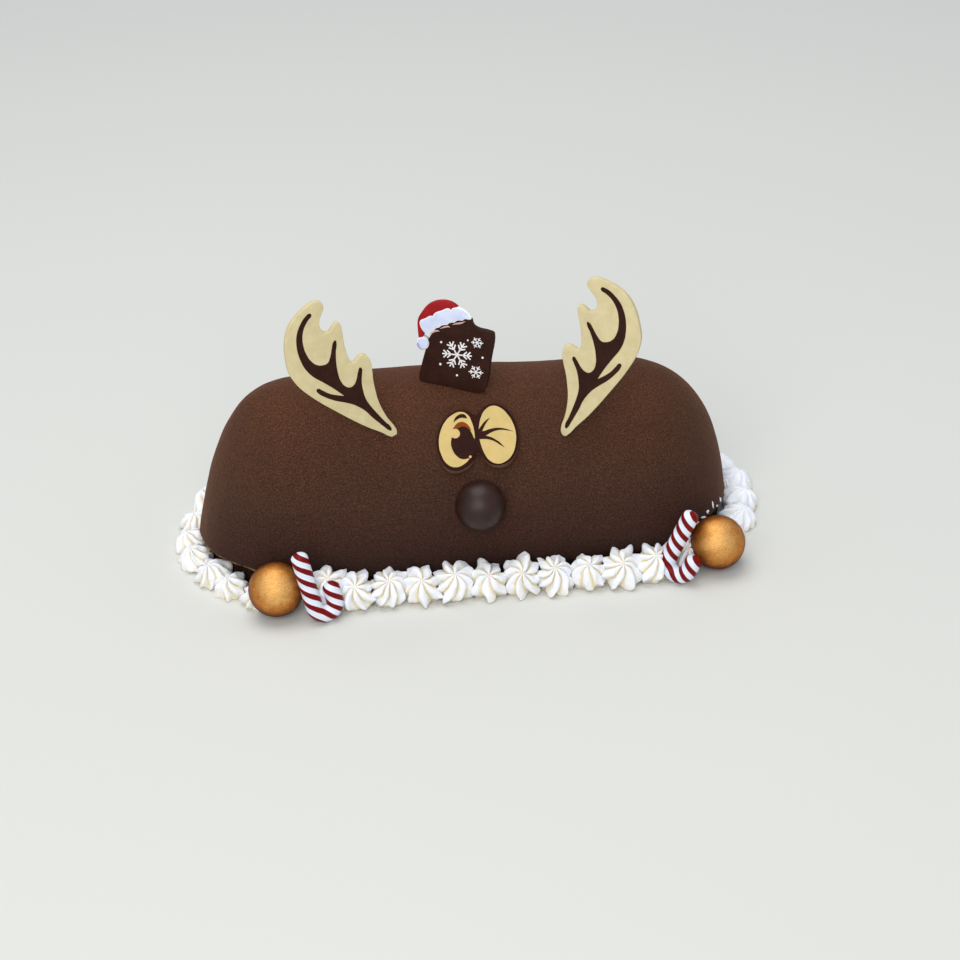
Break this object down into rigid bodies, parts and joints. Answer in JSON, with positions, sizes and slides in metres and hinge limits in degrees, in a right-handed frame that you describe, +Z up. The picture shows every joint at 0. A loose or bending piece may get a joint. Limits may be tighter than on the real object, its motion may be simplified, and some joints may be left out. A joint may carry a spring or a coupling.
{
  "type": "ice cream cake",
  "caption": "Domed ice cream log cake with a cocoa velvet coat, decorated as a winking deer's face with chocolate antlers, ringed by piped cream stars, with gold balls and candy canes.",
  "frame": {"origin": "on the resting plane, under the middle of the log's foot", "axes": "+X along the log to the right as seen from the decorated front, +Y from the front to the back, +Z up"},
  "size_m": [0.2777, 0.1447, 0.1397],
  "materials": {
    "velvet": "matt velvety cocoa coat with a fine grain",
    "sponge": "matt, open crumb",
    "cream": "satin piped cream",
    "gold": "satin chocolate shell dusted with gold lustre",
    "sugar": "glossy boiled sugar with a spiral of dark red on white",
    "dark_chocolate": "satin tempered dark chocolate",
    "white_chocolate": "satin tempered white chocolate",
    "cocoa_shell": "satin dark chocolate shell"
  },
  "bodies": {
    "root": {"sponge_base": "sponge", "ice_cream_log": "velvet", "nose_ball": "cocoa_shell", "eye_plaque": "dark_chocolate", "hat_plaque": "dark_chocolate", "antler_left": "white_chocolate", "antler_right": "white_chocolate", "gold_ball_left": "gold", "gold_ball_right": "gold", "candy_cane_left": "sugar", "candy_cane_right": "sugar", "cream_star_01": "cream", "cream_star_02": "cream", "cream_star_03": "cream", "cream_star_04": "cream", "cream_star_05": "cream", "cream_star_06": "cream", "cream_star_07": "cream", "cream_star_08": "cream", "cream_star_09": "cream", "cream_star_10": "cream", "cream_star_11": "cream", "cream_star_12": "cream", "cream_star_13": "cream", "cream_star_14": "cream", "cream_star_15": "cream", "cream_star_16": "cream", "cream_star_17": "cream", "cream_star_18": "cream", "cream_star_19": "cream", "cream_star_20": "cream", "cream_star_21": "cream", "cream_star_22": "cream", "cream_star_23": "cream", "cream_star_24": "cream", "cream_star_25": "cream", "cream_star_26": "cream", "cream_star_27": "cream", "cream_star_28": "cream", "cream_star_29": "cream", "cream_star_30": "cream", "cream_star_31": "cream", "cream_star_32": "cream", "cream_star_33": "cream", "cream_star_34": "cream", "cream_star_35": "cream", "cream_star_36": "cream", "cream_star_37": "cream", "cream_star_38": "cream", "cream_star_39": "cream", "cream_star_40": "cream", "cream_star_41": "cream"}
  },
  "joints": []
}
